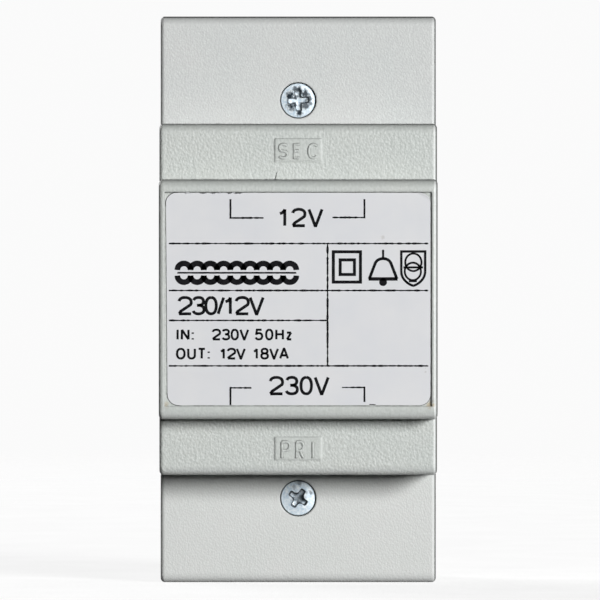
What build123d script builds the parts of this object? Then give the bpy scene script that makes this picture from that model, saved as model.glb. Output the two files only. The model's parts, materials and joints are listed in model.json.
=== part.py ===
from build123d import *

import os
from math import radians, tan

# Three-module bell transformer for a 35 mm top-hat rail, in millimetres.
# X runs across the front, left to right. Z runs up, from the primary end to the secondary end. The front
# faces -Y. The origin is the middle of the rail's height and of the case's width, on the face that the rail
# seats against. A reach is a distance in front of that face, so a reach of 10 lies at y = -10.

# Case, front view
module_width = 17.5
module_count = 3
neighbour_gap = 0.2
overall_height = 107.6
shoulder_height = 66.2
nose_height = 45.0

# Case, side view
nose_reach = 58.0
nose_step = 7.5
shoulder_step = 14.5
seam_reach = 14.0
rear_depth = 5.0

# Mouldings
wall = 2.0
rail_wall = 2.5
deck_wall = 2.5
deck_drop = 2.0
front_edge_radius = 1.8
side_chamfer = 0.48
side_ease = 0.16
seam_gap = 0.1
seam_chamfer = 0.25
rear_chamfer = 0.6
rib = 1.2
upper_rib_count = 5
lower_rib_count = 1

# Label and moulded legend panels
label_border_side = 1.1
label_border_end = 2.4
label_recess_depth = 0.5
label_margin = 0.25
label_thickness = 0.2
label_corner = 2.0
legend_width = 9.0
legend_height = 4.5
legend_rise = 0.2
legend_draft = 40.0
legend_shift = 0.3

# Tongues that locate the case on the base, each with a snap lug
tongue_thickness = 0.9
tongue_height = 2.5
tongue_length = 8.0
lug_length = 6.0
lug_height = 0.8
lug_proud = 0.4
lug_clearance = 0.2

# Terminal cover screws
screw_from_shoulder = 4.7
screw_head_diameter = 6.4
screw_head_height = 2.2
screw_head_sink = 0.15
screw_head_crown = 0.5
screw_diameter = 3.5
screw_length = 14.0
screw_clearance = 0.2
thread_clearance = 0.05
counterbore_clearance = 0.25
counterbore_floor = 2.0
cover_boss_wall = 1.4
pillar_diameter = 8.0
recess_span = 4.2
recess_wing = 0.95
recess_depth = 1.8
recess_taper = 8.0
upper_recess_turn = -4.0
lower_recess_turn = 57.0

# Wire entries in the ends of the covers
wire_entry_width = 6.4
wire_entry_height = 6.6

# Screw terminals
terminal_spacing = 25.0
strip_width = 5.0
strip_thickness = 1.2
strip_overhang = 4.0
tag_width = 3.0
tag_slot_length = 1.8
tag_slot_width = 1.2
clamp_wall = 1.0
clamp_roof = 1.6
clamp_height = 8.5
clamp_length = 6.0
clamp_from_end = 3.8
terminal_screw_diameter = 3.5
terminal_screw_head = 6.0
terminal_screw_head_height = 2.4
terminal_screw_open = 2.0
terminal_screw_slot = 0.9
terminal_clearance = 0.1
nest_height = 3.0
barrier_reach = 25.0

# Transformer
core_side_gap = 0.15
core_stack = 26.0
bobbin_clearance = 0.3
bobbin_wall = 0.9
flange_thickness = 1.0
flange_gap = 0.2
winding_gap = 0.1
winding_inset = 0.6
winding_corner = 3.0
secondary_share = 0.38
post_size = 5.0
post_from_corner = 1.5
cutout_width = 5.0
cutout_thickness = 3.8
cutout_length = 10.0
cutout_gap = 2.5
cutout_chamfer = 0.6
lead_diameter = 1.6
lead_sides = 8
lead_exit = 8.0
lead_notch_clearance = 0.3
lead_straight = 5.0
lead_end_gap = 1.4

# Rail and its clip
rail_width = 35.0
rail_flange = 1.0
rail_top_clearance = 0.3
rail_bottom_clearance = 1.8
lip_clearance = 0.3
lip_thickness = 1.9
hook_overlap = 1.3
clip_overlap = 1.7
clip_width = 18.0
clip_rib_width = 15.0
clip_plate = 2.8
clip_clearance = 0.2
clip_end_setback = 4.8
clip_hook_tip = 1.0
clip_head = 6.2
clip_tail = 7.0
clip_window_width = 10.0
clip_window_slot = 6.4
clip_guide_wall = 3.0
driver_slot_length = 8.0
driver_slot_width = 1.6
driver_slot_from_end = 3.4
stop_lug_height = 2.4
spring_strip = 0.5
spring_turns = 5
spring_clearance = 0.1

# Worked out from the sizes above
case_width = module_width * module_count - neighbour_gap
inner_width = case_width - 2 * wall
shoulder_reach = nose_reach - nose_step
cover_reach = shoulder_reach - shoulder_step
top = overall_height / 2
shoulder_top = shoulder_height / 2
nose_top = nose_height / 2
cavity_top = shoulder_top - wall
cover_low = shoulder_top + seam_gap
deck_reach = seam_reach - deck_drop
label_recess_width = case_width - 2 * label_border_side
label_recess_height = nose_height - 2 * label_border_end
screw_z = shoulder_top + screw_from_shoulder
counterbore_diameter = screw_head_diameter + 2 * counterbore_clearance
head_seat_reach = cover_reach - screw_head_sink - screw_head_height
cover_boss_reach = head_seat_reach - counterbore_floor
screw_hole = screw_diameter + 2 * screw_clearance
terminal_x = terminal_spacing / 2
clamp_high = top - wall - clamp_from_end
clamp_low = clamp_high - clamp_length
clamp_width = strip_width + 2 * clamp_wall
strip_top_reach = deck_reach + strip_thickness
clamp_reach = deck_reach + clamp_height
nest_x = clamp_width / 2 + terminal_clearance
unit = (inner_width - 2 * core_side_gap) / 6
coil_back = rail_wall + cutout_gap + cutout_thickness
core_back = coil_back + unit - winding_inset
core_front = core_back + core_stack
core_reach = (core_back + core_front) / 2
bobbin_half = 1.5 * unit - flange_gap
chamber_low = -bobbin_half + flange_thickness
chamber_high = bobbin_half - flange_thickness
divider_low = chamber_high - secondary_share * (chamber_high - chamber_low) - flange_thickness
post_x = 3 * unit - post_from_corner - post_size / 2
post_z = 2.5 * unit - post_from_corner - post_size / 2
tongue_z = (2.5 * unit + cavity_top) / 2
lead_reach = deck_reach - lead_diameter / 2 - terminal_clearance
tag_end = cavity_top - strip_overhang
channel_top = rail_width / 2 + rail_top_clearance
channel_bottom = -rail_width / 2 - rail_bottom_clearance
lip_y = rail_flange + lip_clearance
clip_back = rear_depth - clip_clearance
clip_low = -top + clip_end_setback
clip_shoulder = -rail_width / 2 - rail_top_clearance
window_high = clip_shoulder - clip_head
window_low = clip_low + clip_tail
guide_width = clip_width + 2 * clip_clearance
guide_slot = clip_rib_width + 2 * clip_clearance
plate_back = clip_clearance + clip_plate


def block(x_span, y_span, z_span):
    """Rectangular solid between two ends on each axis."""
    spans = (x_span, y_span, z_span)
    centre = [(low + high) / 2 for low, high in spans]
    return Pos(*centre) * Box(*[high - low for low, high in spans])


def slab(sketch, back_reach, front_reach):
    """A front-view outline, made solid between two reaches."""
    return extrude(Plane.XZ.offset(back_reach) * sketch, front_reach - back_reach)


def both_ends(part):
    """A piece at the secondary end, with its mirror image at the primary end."""
    return part + mirror(part, Plane.XY)


def both_sides(part):
    """A piece on the right, with its mirror image on the left."""
    return part + mirror(part, Plane.YZ)


def rounded_block(z_low, z_high, front_reach, round_both):
    """A full-width block from the seam to the front, with the moulding's large radius along its outer
    front edges and an eased chamfer round its sides."""
    depth = front_reach - seam_reach
    outline = Pos(-seam_reach - depth / 2, (z_low + z_high) / 2) * Rectangle(depth, z_high - z_low)
    front = outline.vertices().group_by(Axis.X)[0].sort_by(Axis.Y)
    outline = fillet(front if round_both else front[-1:], front_edge_radius)
    solid = extrude(Plane.YZ * outline, case_width / 2, both=True)
    lowest = -top if round_both else z_low + wall / 2
    solid = chamfer(rim_edges(solid, case_width / 2, lowest), side_chamfer)
    inner_rims = rim_edges(solid, case_width / 2 - side_chamfer, lowest)
    return chamfer(inner_rims + rim_edges(solid, case_width / 2, lowest), side_ease)


def rim_edges(solid, x, lowest):
    """A block's edges at one distance from its middle, without those on the seam or at its open end."""
    rims = [edge for edge in solid.edges() if abs(abs(edge.center().X) - x) < seam_gap / 10]
    return [edge for edge in rims if edge.center().Y < -seam_reach - seam_gap and edge.center().Z > lowest]


def front_case():
    """Stepped shell: the nose with its label recess, and a shoulder above and below it."""
    shell = rounded_block(-shoulder_top, shoulder_top, shoulder_reach, True)
    shell += rounded_block(-nose_top, nose_top, nose_reach, True)
    shell -= slab(Rectangle(inner_width, 2 * cavity_top), seam_reach, shoulder_reach - wall)
    shell -= slab(Rectangle(inner_width, nose_height - 2 * wall), seam_reach, nose_reach - wall)
    recess = Rectangle(label_recess_width, label_recess_height)
    shell -= slab(recess, nose_reach - label_recess_depth, nose_reach)
    shell += both_ends(legend_panel())
    shell += slab(core_posts(), core_front, nose_reach - wall)
    return shell - at_each_corner(snap_lug(lug_clearance))


def legend_panel():
    """Raised panel with drafted sides, on the middle of the secondary shoulder."""
    panel = Pos(0, (nose_top + shoulder_top) / 2 + legend_shift) * Rectangle(legend_width, legend_height)
    return extrude(Plane.XZ.offset(shoulder_reach) * panel, legend_rise, taper=legend_draft)


def snap_lug(grow):
    """Snap lug at the right of the secondary end; grown by its clearance, it is the pocket it snaps into."""
    outer = inner_width / 2 - seam_gap
    tip = seam_reach + tongue_height
    return block(
        (outer, outer + lug_proud + grow),
        (-tip - grow, -tip + lug_height + grow),
        (tongue_z - lug_length / 2 - grow, tongue_z + lug_length / 2 + grow),
    )


def terminal_cover():
    """Cap over the terminals at the secondary end, open to the case and to the base."""
    cap = rounded_block(cover_low, top, cover_reach, False)
    inside = Pos(0, (cover_low + top - wall) / 2) * Rectangle(inner_width, top - wall - cover_low)
    cap -= slab(inside, seam_reach, cover_reach - wall)
    boss_width = counterbore_diameter + 2 * cover_boss_wall
    boss = slab(Pos(0, screw_z) * Rectangle(boss_width, boss_width), cover_boss_reach, cover_reach - wall)
    cap += boss & block((-top, top), (-cover_reach, 0), (cover_low, top))
    cap -= slab(Pos(0, screw_z) * Circle(counterbore_diameter / 2), head_seat_reach, cover_reach)
    cap -= slab(Pos(0, screw_z) * Circle(screw_hole / 2), cover_boss_reach, cover_reach)
    entry = Rectangle(
        wire_entry_width, wire_entry_height - wire_entry_width / 2, align=(Align.CENTER, Align.MIN)
    )
    entry += Pos(0, wire_entry_height - wire_entry_width / 2) * Circle(wire_entry_width / 2)
    entry = Plane((terminal_x, -seam_reach, top), x_dir=(1, 0, 0), z_dir=(0, 0, -1)) * entry
    return cap - both_sides(extrude(entry, wall))


def cover_screw(turn):
    """Pan-head screw with a cross recess, at the secondary end."""
    crown = head_seat_reach + screw_head_height
    head = slab(Pos(0, screw_z) * Circle(screw_head_diameter / 2), head_seat_reach, crown)
    head = chamfer(head.edges().group_by(Axis.Y)[0], screw_head_crown)
    cross = Rectangle(recess_span, recess_wing) + Rectangle(recess_wing, recess_span)
    mouth = Plane((0, -crown, screw_z), x_dir=(1, 0, 0), z_dir=(0, 1, 0)).rotated((0, 0, turn))
    head -= extrude(mouth * cross, recess_depth, taper=recess_taper)
    shank = Pos(0, screw_z) * Circle(screw_diameter / 2)
    return head + slab(shank, head_seat_reach - screw_length, head_seat_reach)


def rating_label():
    """Printed label in the nose's recess."""
    width = label_recess_width - 2 * label_margin
    height = label_recess_height - 2 * label_margin
    floor = nose_reach - label_recess_depth
    return slab(RectangleRounded(width, height, label_corner), floor, floor + label_thickness)


def rear_base():
    """Base moulding: a pan for the transformer, a terminal deck at each end, and the rail's foot behind."""
    outline = chamfer(Rectangle(case_width, overall_height).vertices(), side_chamfer)
    base = slab(outline, -rear_depth, seam_reach)
    base = chamfer(base.edges().group_by(Axis.Y)[-1], rear_chamfer)
    base = chamfer(base.edges().group_by(Axis.Y)[0], seam_chamfer)
    base -= slab(Rectangle(inner_width, 2 * cavity_top), rail_wall, seam_reach)
    base -= both_ends(deck_space())
    base -= both_ends(tag_slots())
    base += slab(core_posts(), rail_wall, core_back)
    base += both_ends(deck_fittings())
    base += at_each_corner(tongue())
    base -= rail_channel()
    base -= upper_pockets()
    base -= both_sides(lower_pockets())
    base -= clip_guide()
    base += stop_lug()
    return base


def deck_space():
    """Open space in front of the secondary terminal deck, inside the base's low rim."""
    height = top - wall - shoulder_top
    return slab(Pos(0, shoulder_top + height / 2) * Rectangle(inner_width, height), deck_reach, seam_reach)


def tag_slots():
    """Slots that let the terminal strips through the partition at the secondary end."""
    half = strip_width / 2 + terminal_clearance
    across = (terminal_x - half, terminal_x + half)
    return both_sides(block(across, (-seam_reach, -deck_reach), (cavity_top, shoulder_top)))


def core_posts():
    """Outline of the four posts that the laminations rest on."""
    return Sketch() + GridLocations(2 * post_x, 2 * post_z, 2, 2) * Rectangle(post_size, post_size)


def deck_fittings():
    """Screw pillar, barrier between the terminals, and the ribs that nest each clamp."""
    centre = Pos(0, screw_z)
    pillar = slab(centre * Circle(pillar_diameter / 2), deck_reach, cover_boss_reach)
    pillar &= block((-top, top), (-cover_reach, 0), (cover_low, top))
    barrier = block((-rib / 2, rib / 2), (-barrier_reach, -deck_reach), (screw_z, top - wall))
    pilot = centre * Circle(screw_diameter / 2 + thread_clearance)
    pilot = slab(pilot, head_seat_reach - screw_length - wall, cover_boss_reach)
    side = block((nest_x, nest_x + rib), (-deck_reach - nest_height, -deck_reach), (clamp_low, clamp_high))
    nests = both_sides(Pos(terminal_x, 0, 0) * both_sides(side))
    return pillar + barrier - pilot + nests


def tongue():
    """Locating tongue inside the right wall at the secondary end, with its snap lug."""
    outer = inner_width / 2 - seam_gap
    along = (tongue_z - tongue_length / 2, tongue_z + tongue_length / 2)
    foot = block((outer - tongue_thickness, inner_width / 2), (-seam_reach, -rail_wall), along)
    blade = block((outer - tongue_thickness, outer), (-seam_reach - tongue_height, -seam_reach), along)
    return foot + blade + snap_lug(0)


def rail_channel():
    """Channel across the back for the rail, with the fixed hook's lip left standing at its top edge."""
    wide = (-case_width, case_width)
    channel = block(wide, (0, rear_depth), (channel_bottom, channel_top))
    lip_low = rail_width / 2 - hook_overlap
    lip = Polyline(
        (lip_y, channel_top),
        (lip_y, lip_low),
        (lip_y + lip_thickness / 2, lip_low),
        (lip_y + lip_thickness, lip_low + lip_thickness / 2),
        (rear_depth, channel_top),
        close=True,
    )
    return channel - extrude(Plane.YZ * make_face(lip), case_width, both=True)


def pockets(x_span, shallow_span, deep_span, rib_count):
    """Cored pockets behind a terminal deck, shallow near the rail, with ribs between them."""
    deep = (deck_wall - deck_reach, rear_depth)
    space = block(x_span, (0, rear_depth), shallow_span) + block(x_span, deep, deep_span)
    heights = shallow_span + deep_span
    for index in range(rib_count):
        x = x_span[0] + (x_span[1] - x_span[0]) * (index + 1) / (rib_count + 1)
        space -= block((x - rib / 2, x + rib / 2), deep, (min(heights), max(heights)))
    return space


def upper_pockets():
    """Pockets behind the secondary deck, right across the base."""
    across = (-inner_width / 2, inner_width / 2)
    near_rail = (channel_top + clip_guide_wall, shoulder_top)
    return pockets(across, near_rail, (shoulder_top, top - wall), upper_rib_count)


def lower_pockets():
    """Pockets behind the primary deck, to the right of the clip's guide."""
    across = (guide_width / 2 + clip_guide_wall, inner_width / 2)
    near_rail = (-shoulder_top, channel_bottom - clip_guide_wall)
    return pockets(across, near_rail, (-top + wall, -shoulder_top), lower_rib_count)


def clip_guide():
    """T-shaped guide for the clip, open to the rail channel and at the primary end."""
    along = (-top, channel_bottom)
    flange = block((-guide_width / 2, guide_width / 2), (0, plate_back + clip_clearance), along)
    return flange + block((-guide_slot / 2, guide_slot / 2), (0, rear_depth), along)


def stop_lug():
    """Lug in the clip's window: it stops the clip and carries the foot of the spring."""
    half = clip_window_width / 2 - clip_clearance
    foot = window_low + spring_clearance
    return block((-half, half), (0, clip_plate), (foot, foot + stop_lug_height))


def rail_clip():
    """Sliding clip: hook over the rail's lower edge, window for its spring, and a screwdriver slot."""
    hook_high = -rail_width / 2 + clip_overlap
    ramp = clip_back - lip_y - clip_hook_tip
    profile = Polyline(
        (clip_clearance, clip_low),
        (clip_clearance, clip_shoulder),
        (lip_y, clip_shoulder),
        (lip_y, hook_high),
        (lip_y + clip_hook_tip, hook_high),
        (clip_back, hook_high - ramp),
        (clip_back, clip_low),
        close=True,
    )
    clip = extrude(Plane.YZ * make_face(profile), clip_width / 2, both=True)
    side = block((clip_rib_width / 2, clip_width), (plate_back, rear_depth), (-top, top))
    clip -= both_sides(side)
    window = (window_low, window_high)
    clip -= block((-clip_window_width / 2, clip_window_width / 2), (0, plate_back), window)
    clip -= block((-clip_window_slot / 2, clip_window_slot / 2), (0, rear_depth), window)
    slot_low = clip_low + driver_slot_from_end - driver_slot_width / 2
    half_slot = driver_slot_length / 2
    return clip - block((-half_slot, half_slot), (0, rear_depth), (slot_low, slot_low + driver_slot_width))


def clip_spring():
    """Zigzag strip spring between the base's lug and the head of the clip's window."""
    low = window_low + stop_lug_height + 2 * spring_clearance + spring_strip / 2
    high = window_high - spring_clearance - spring_strip / 2
    pitch = (high - low) / spring_turns
    reach_x = clip_window_width / 2 - clip_clearance - spring_strip / 2 - pitch / 2
    path = []
    for index in range(spring_turns + 1):
        z = low + index * pitch
        x = reach_x if index % 2 == 0 else -reach_x
        path.append(Line((-x, z), (x, z)))
        if index < spring_turns:
            bend = (x + pitch / 2 if x > 0 else x - pitch / 2, z + pitch / 2)
            path.append(ThreePointArc((x, z), bend, (x, z + pitch)))
    band = trace(Curve() + path, spring_strip)
    return slab(band, spring_clearance - plate_back, -clip_clearance)


def e_laminations():
    """Stack of E stampings, its three limbs standing up through the bobbin."""
    stamping = Pos(0, -unit / 2) * Rectangle(6 * unit, 4 * unit)
    for x in (-1.5 * unit, 1.5 * unit):
        stamping -= Pos(x, 0) * Rectangle(unit, 3 * unit)
    return slab(stamping, core_back, core_front)


def i_laminations():
    """Stack of I stampings that closes the E stack."""
    return slab(Pos(0, 2 * unit) * Rectangle(6 * unit, unit), core_back, core_front)


def ring(z_low, z_high, inner, outer):
    """Ring round the middle limb between two heights, from its inner and outer outlines seen from above."""
    return extrude(Plane((0, -core_reach, z_low)) * (outer - inner), z_high - z_low)


def limb_outline(gap):
    """Outline of the middle limb seen from above, larger all round by a gap."""
    return Rectangle(2 * unit + 2 * gap, core_stack + 2 * gap)


def bobbin():
    """Two-chamber bobbin, with notches in its end flanges where the leads come out."""
    bore = limb_outline(bobbin_clearance)
    flange = Rectangle(4 * unit - 2 * flange_gap, core_stack + 2 * unit)
    former = ring(-bobbin_half, bobbin_half, bore, limb_outline(bobbin_clearance + bobbin_wall))
    for z_low in (-bobbin_half, divider_low, bobbin_half - flange_thickness):
        former += ring(z_low, z_low + flange_thickness, bore, flange)
    half = lead_diameter / 2 + lead_notch_clearance
    notch = block(
        (lead_exit - half, lead_exit + half),
        (-lead_reach - half, -coil_back + unit),
        (bobbin_half - flange_thickness, bobbin_half),
    )
    return former - at_each_corner(notch)


def winding(z_low, z_high):
    """Wound coil, filling one chamber of the bobbin."""
    tube = limb_outline(bobbin_clearance + bobbin_wall + winding_gap)
    outer = RectangleRounded(
        4 * unit - 2 * winding_inset, core_stack + 2 * unit - 2 * winding_inset, winding_corner
    )
    return ring(z_low + winding_gap, z_high - winding_gap, tube, outer)


def thermal_cutout():
    """Protector lying against the back of the primary coil, over the left lead."""
    high = -chamber_high + flange_thickness + cutout_length
    body = block(
        (-lead_exit - cutout_width / 2, -lead_exit + cutout_width / 2),
        (-coil_back, -coil_back + cutout_thickness),
        (high - cutout_length, high),
    )
    return chamfer(body.edges().filter_by(Axis.Z), cutout_chamfer)


def terminal_strip():
    """Brass strip on the secondary deck at the right, with a solder tag over the transformer's space."""
    strip = Pos(0, (cavity_top + clamp_high) / 2) * Rectangle(strip_width, clamp_high - cavity_top)
    strip += Pos(0, (tag_end + cavity_top) / 2) * Rectangle(tag_width, cavity_top - tag_end)
    strip -= Pos(0, tag_end + tag_width / 2) * Rectangle(tag_slot_width, tag_slot_length)
    return slab(Pos(terminal_x, 0) * strip, deck_reach, strip_top_reach)


def terminal_clamp():
    """Saddle over the strip on the right: two legs on the deck, and a roof tapped for the screw."""
    middle = (clamp_low + clamp_high) / 2
    saddle = slab(Pos(0, middle) * Rectangle(clamp_width, clamp_length), deck_reach, clamp_reach)
    mouth = Pos(0, middle) * Rectangle(strip_width, clamp_length)
    saddle -= slab(mouth, deck_reach, clamp_reach - clamp_roof)
    hole = terminal_screw_diameter + 2 * terminal_clearance
    saddle -= slab(Pos(0, middle) * Circle(hole / 2), deck_reach, clamp_reach)
    return Pos(terminal_x, 0, 0) * saddle


def terminal_screw():
    """Slotted screw in the right clamp, backed off to let a wire in."""
    centre = Pos(terminal_x, (clamp_low + clamp_high) / 2)
    seat = clamp_reach + terminal_screw_open
    crown = seat + terminal_screw_head_height
    head = slab(centre * Circle(terminal_screw_head / 2), seat, crown)
    slot = centre * Rectangle(terminal_screw_head, terminal_screw_slot)
    head -= slab(slot, seat + terminal_screw_head_height / 2, crown)
    return head + slab(centre * Circle(terminal_screw_diameter / 2), clamp_reach - clamp_roof - rib, seat)


def lead(points):
    """Insulated wire along straight runs, joined by arcs as large as the runs allow."""
    points = [Vector(*point) for point in points]
    radii = []
    for before, here, after in zip(points, points[1:], points[2:]):
        turn = (here - before).get_angle(after - here)
        run = min((here - before).length, (after - here).length)
        radii.append(0.45 * run / tan(radians(turn / 2)))
    route = FilletPolyline(*points, radius=radii)
    start = Plane(points[0], z_dir=points[1] - points[0])
    return sweep(start * RegularPolygon(lead_diameter / 2, lead_sides), path=route)


def coil_lead():
    """Lead at the right, from the secondary coil to the tag of its terminal."""
    return lead([
        (lead_exit, -lead_reach, chamber_high),
        (lead_exit, -lead_reach, bobbin_half + lead_straight),
        (terminal_x, -lead_reach, tag_end - lead_straight / 2),
        (terminal_x, -lead_reach, cavity_top - lead_end_gap),
    ])


def cutout_lead():
    """Lead at the left, from the thermal cut-out to the tag of its primary terminal."""
    cutout_y = -coil_back + cutout_thickness / 2
    cutout_low = -chamber_high + flange_thickness
    return lead([
        (-lead_exit, cutout_y, cutout_low),
        (-lead_exit, cutout_y, cutout_low - lead_straight),
        (-terminal_x, -lead_reach, -tag_end + lead_straight / 2),
        (-terminal_x, -lead_reach, -cavity_top + lead_end_gap),
    ])


def at_each_corner(part):
    """The same piece at all four terminals."""
    return both_ends(both_sides(part))


def pieces():
    """Every piece by its name."""
    upper_cover = terminal_cover()
    lower_screw = mirror(cover_screw(lower_recess_turn), Plane.XY)
    found = {
        "rear_base": rear_base(),
        "front_case": front_case(),
        "secondary_terminal_cover": upper_cover,
        "primary_terminal_cover": mirror(upper_cover, Plane.XY),
        "cover_screws": cover_screw(upper_recess_turn) + lower_screw,
        "rating_label": rating_label(),
        "rail_clip": rail_clip(),
        "clip_spring": clip_spring(),
        "e_lamination_stack": e_laminations(),
        "i_lamination_stack": i_laminations(),
        "bobbin": bobbin(),
        "primary_winding": winding(chamber_low, divider_low),
        "secondary_winding": winding(divider_low + flange_thickness, chamber_high),
        "thermal_cutout": thermal_cutout(),
        "terminal_screws": at_each_corner(terminal_screw()),
    }
    for name, part in (("terminal", terminal_strip()), ("clamp", terminal_clamp())):
        found[f"secondary_{name}_right"] = part
        found[f"secondary_{name}_left"] = mirror(part, Plane.YZ)
        found[f"primary_{name}_right"] = mirror(part, Plane.XY)
        found[f"primary_{name}_left"] = mirror(mirror(part, Plane.XY), Plane.YZ)
    wire = coil_lead()
    found["secondary_lead_right"] = wire
    found["secondary_lead_left"] = mirror(wire, Plane.YZ)
    found["primary_lead_right"] = mirror(wire, Plane.XY)
    found["primary_lead_left"] = cutout_lead()
    return found


os.makedirs("parts", exist_ok=True)
for name, part in pieces().items():
    export_step(part, f"parts/{name}.step")
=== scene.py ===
import json
import math
import random

import bmesh
import bpy
from mathutils import Matrix, Vector


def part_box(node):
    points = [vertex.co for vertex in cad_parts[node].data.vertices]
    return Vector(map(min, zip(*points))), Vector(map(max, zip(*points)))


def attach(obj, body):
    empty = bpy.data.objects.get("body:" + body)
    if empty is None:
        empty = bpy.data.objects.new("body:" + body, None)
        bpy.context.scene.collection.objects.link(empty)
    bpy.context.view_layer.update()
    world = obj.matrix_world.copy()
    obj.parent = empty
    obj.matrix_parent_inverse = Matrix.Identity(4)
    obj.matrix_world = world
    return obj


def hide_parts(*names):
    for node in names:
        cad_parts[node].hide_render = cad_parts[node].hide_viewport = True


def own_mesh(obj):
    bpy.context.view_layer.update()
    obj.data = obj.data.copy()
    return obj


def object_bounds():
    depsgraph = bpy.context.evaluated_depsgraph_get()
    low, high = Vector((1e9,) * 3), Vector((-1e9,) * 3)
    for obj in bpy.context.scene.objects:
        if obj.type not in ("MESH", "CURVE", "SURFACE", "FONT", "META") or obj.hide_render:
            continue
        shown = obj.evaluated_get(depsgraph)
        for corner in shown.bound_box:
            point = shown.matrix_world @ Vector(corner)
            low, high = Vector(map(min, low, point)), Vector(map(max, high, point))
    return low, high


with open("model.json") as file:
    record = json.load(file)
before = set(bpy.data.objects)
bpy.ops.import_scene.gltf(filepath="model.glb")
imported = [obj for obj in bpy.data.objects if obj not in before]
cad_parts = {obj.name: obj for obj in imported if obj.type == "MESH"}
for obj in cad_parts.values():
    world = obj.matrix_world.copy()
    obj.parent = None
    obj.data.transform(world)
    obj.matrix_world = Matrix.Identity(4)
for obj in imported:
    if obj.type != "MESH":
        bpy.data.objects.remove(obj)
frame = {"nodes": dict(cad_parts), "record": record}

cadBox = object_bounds()  # the model's box before anything is added
cadNodes = frame["nodes"]
scene = bpy.context.scene
mm = 0.001
print("frame loaded with", len(cadNodes), "pieces")


# small helpers for objects

def addObject(name, data):
    obj = bpy.data.objects.new(name, data)
    scene.collection.objects.link(obj)
    return obj


def meshObject(name, shape):
    # an object from a bmesh, which is used up
    mesh = bpy.data.meshes.new(name)
    shape.to_mesh(mesh)
    shape.free()
    return addObject(name, mesh)


def strokeCurve(name, radius, strokes):
    # round strokes along lists of points in millimetres
    curve = bpy.data.curves.new(name, "CURVE")
    curve.dimensions = "3D"
    curve.bevel_depth = radius * mm
    for points in strokes:
        spline = curve.splines.new("POLY")
        spline.points.add(len(points) - 1)
        for point, (x, y, z) in zip(spline.points, points):
            point.co = (x * mm, y * mm, z * mm, 1)
    return curve


def finalMesh(obj):
    # the object's mesh with its modifiers worked in
    depsgraph = bpy.context.evaluated_depsgraph_get()
    return bpy.data.meshes.new_from_object(obj.evaluated_get(depsgraph))


def settle(name, obj, material, smoothAngle=40):
    # bakes the modifiers, shades it, and hangs it on the housing
    mesh = finalMesh(obj)
    mesh.name = name
    bpy.data.objects.remove(obj)
    piece = addObject(name, mesh)
    mesh.polygons.foreach_set("use_smooth", [True] * len(mesh.polygons))
    mesh.set_sharp_from_angle(angle=math.radians(smoothAngle))
    mesh.materials.clear()
    mesh.materials.append(material)
    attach(piece, "housing")
    return piece


# small helpers for node trees

def feed(tree, node, values):
    # an input given a socket is linked, anything else is its value
    for key, value in values.items():
        if isinstance(value, bpy.types.NodeSocket):
            tree.links.new(value, node.inputs[key])
        else:
            node.inputs[key].default_value = value


def put(tree, kind, inputs=None, **settings):
    node = tree.nodes.new(kind)
    for key, value in settings.items():
        setattr(node, key, value)
    feed(tree, node, inputs or {})
    return node


def mixColour(tree, factor, first, second):
    # the Mix node's colour sockets share their names with others, so they go by number
    return put(tree, "ShaderNodeMix", {0: factor, 6: first, 7: second}, data_type="RGBA").outputs[2]


def ramp(tree, value, low, high, toLow=0.0, toHigh=1.0):
    node = put(tree, "ShaderNodeMapRange", {
        "Value": value, "From Min": low, "From Max": high, "To Min": toLow, "To Max": toHigh,
    })
    return node.outputs["Result"]


def times(tree, first, second):
    return put(tree, "ShaderNodeMath", {0: first, 1: second}, operation="MULTIPLY").outputs[0]


def split(tree, vector):
    return put(tree, "ShaderNodeSeparateXYZ", {0: vector}).outputs


def objectPlace(tree):
    return put(tree, "ShaderNodeTexCoord").outputs["Object"]


def surfaceTurn(tree):
    return split(tree, put(tree, "ShaderNodeNewGeometry").outputs["Normal"])


def noise(tree, place, scale, detail, roughness=0.5):
    return put(tree, "ShaderNodeTexNoise", {
        "Vector": place, "Scale": scale, "Detail": detail, "Roughness": roughness,
    }).outputs["Fac"]


def bump(tree, height, depth, strength=1.0, under=None, invert=False):
    # depth in millimetres, over another normal if one is given
    inputs = {"Height": height, "Distance": depth * mm, "Strength": strength}
    if under is not None:
        inputs["Normal"] = under
    return put(tree, "ShaderNodeBump", inputs, invert=invert).outputs["Normal"]


def newGroup(name, inputs, outputs):
    group = bpy.data.node_groups.new(name, "ShaderNodeTree")
    for label, kind, value in inputs:
        socket = group.interface.new_socket(label, in_out="INPUT", socket_type=kind)
        socket.default_value = value
    for label, kind in outputs:
        group.interface.new_socket(label, in_out="OUTPUT", socket_type=kind)
    return group, group.nodes.new("NodeGroupInput").outputs, group.nodes.new("NodeGroupOutput").inputs


def useGroup(tree, group, inputs):
    return put(tree, "ShaderNodeGroup", inputs, node_tree=group).outputs


def newMaterial(name):
    material = bpy.data.materials.new(name)
    material.use_nodes = True
    tree = material.node_tree
    return material, tree, tree.nodes["Principled BSDF"]


# camera: square on to the front, far back on a long lens
photoCamera = {"place": (0.34, -1653.0, -0.13), "lens": 510.5, "sensor": 36.0, "farClip": 20.0}

cameraData = bpy.data.cameras.new("photoCamera")
cameraData.lens = photoCamera["lens"]
cameraData.sensor_width = photoCamera["sensor"]
cameraData.clip_end = photoCamera["farClip"]
camera = addObject("photoCamera", cameraData)
camera.location = Vector(photoCamera["place"]) * mm
camera.rotation_euler = (math.radians(90), 0, 0)
scene.camera = camera
scene.view_settings.view_transform = "Standard"
print("camera set")

# studio: one broad soft light in front, to the right, little else before it, and a fill behind
studio = {
    "backdrop": 0.96,
    "airAhead": 0.012, "airBehind": 0.35, "airRise": 0.7,
    "lights": {
        # name: (degrees round from the front, degrees up, metres away, width, height, watts)
        "frontSoftbox": (31, 10, 2.6, 0.88, 0.76, 74),
        "backFill": (215, 24, 2.8, 1.6, 1.2, 40),
    },
}

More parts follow.
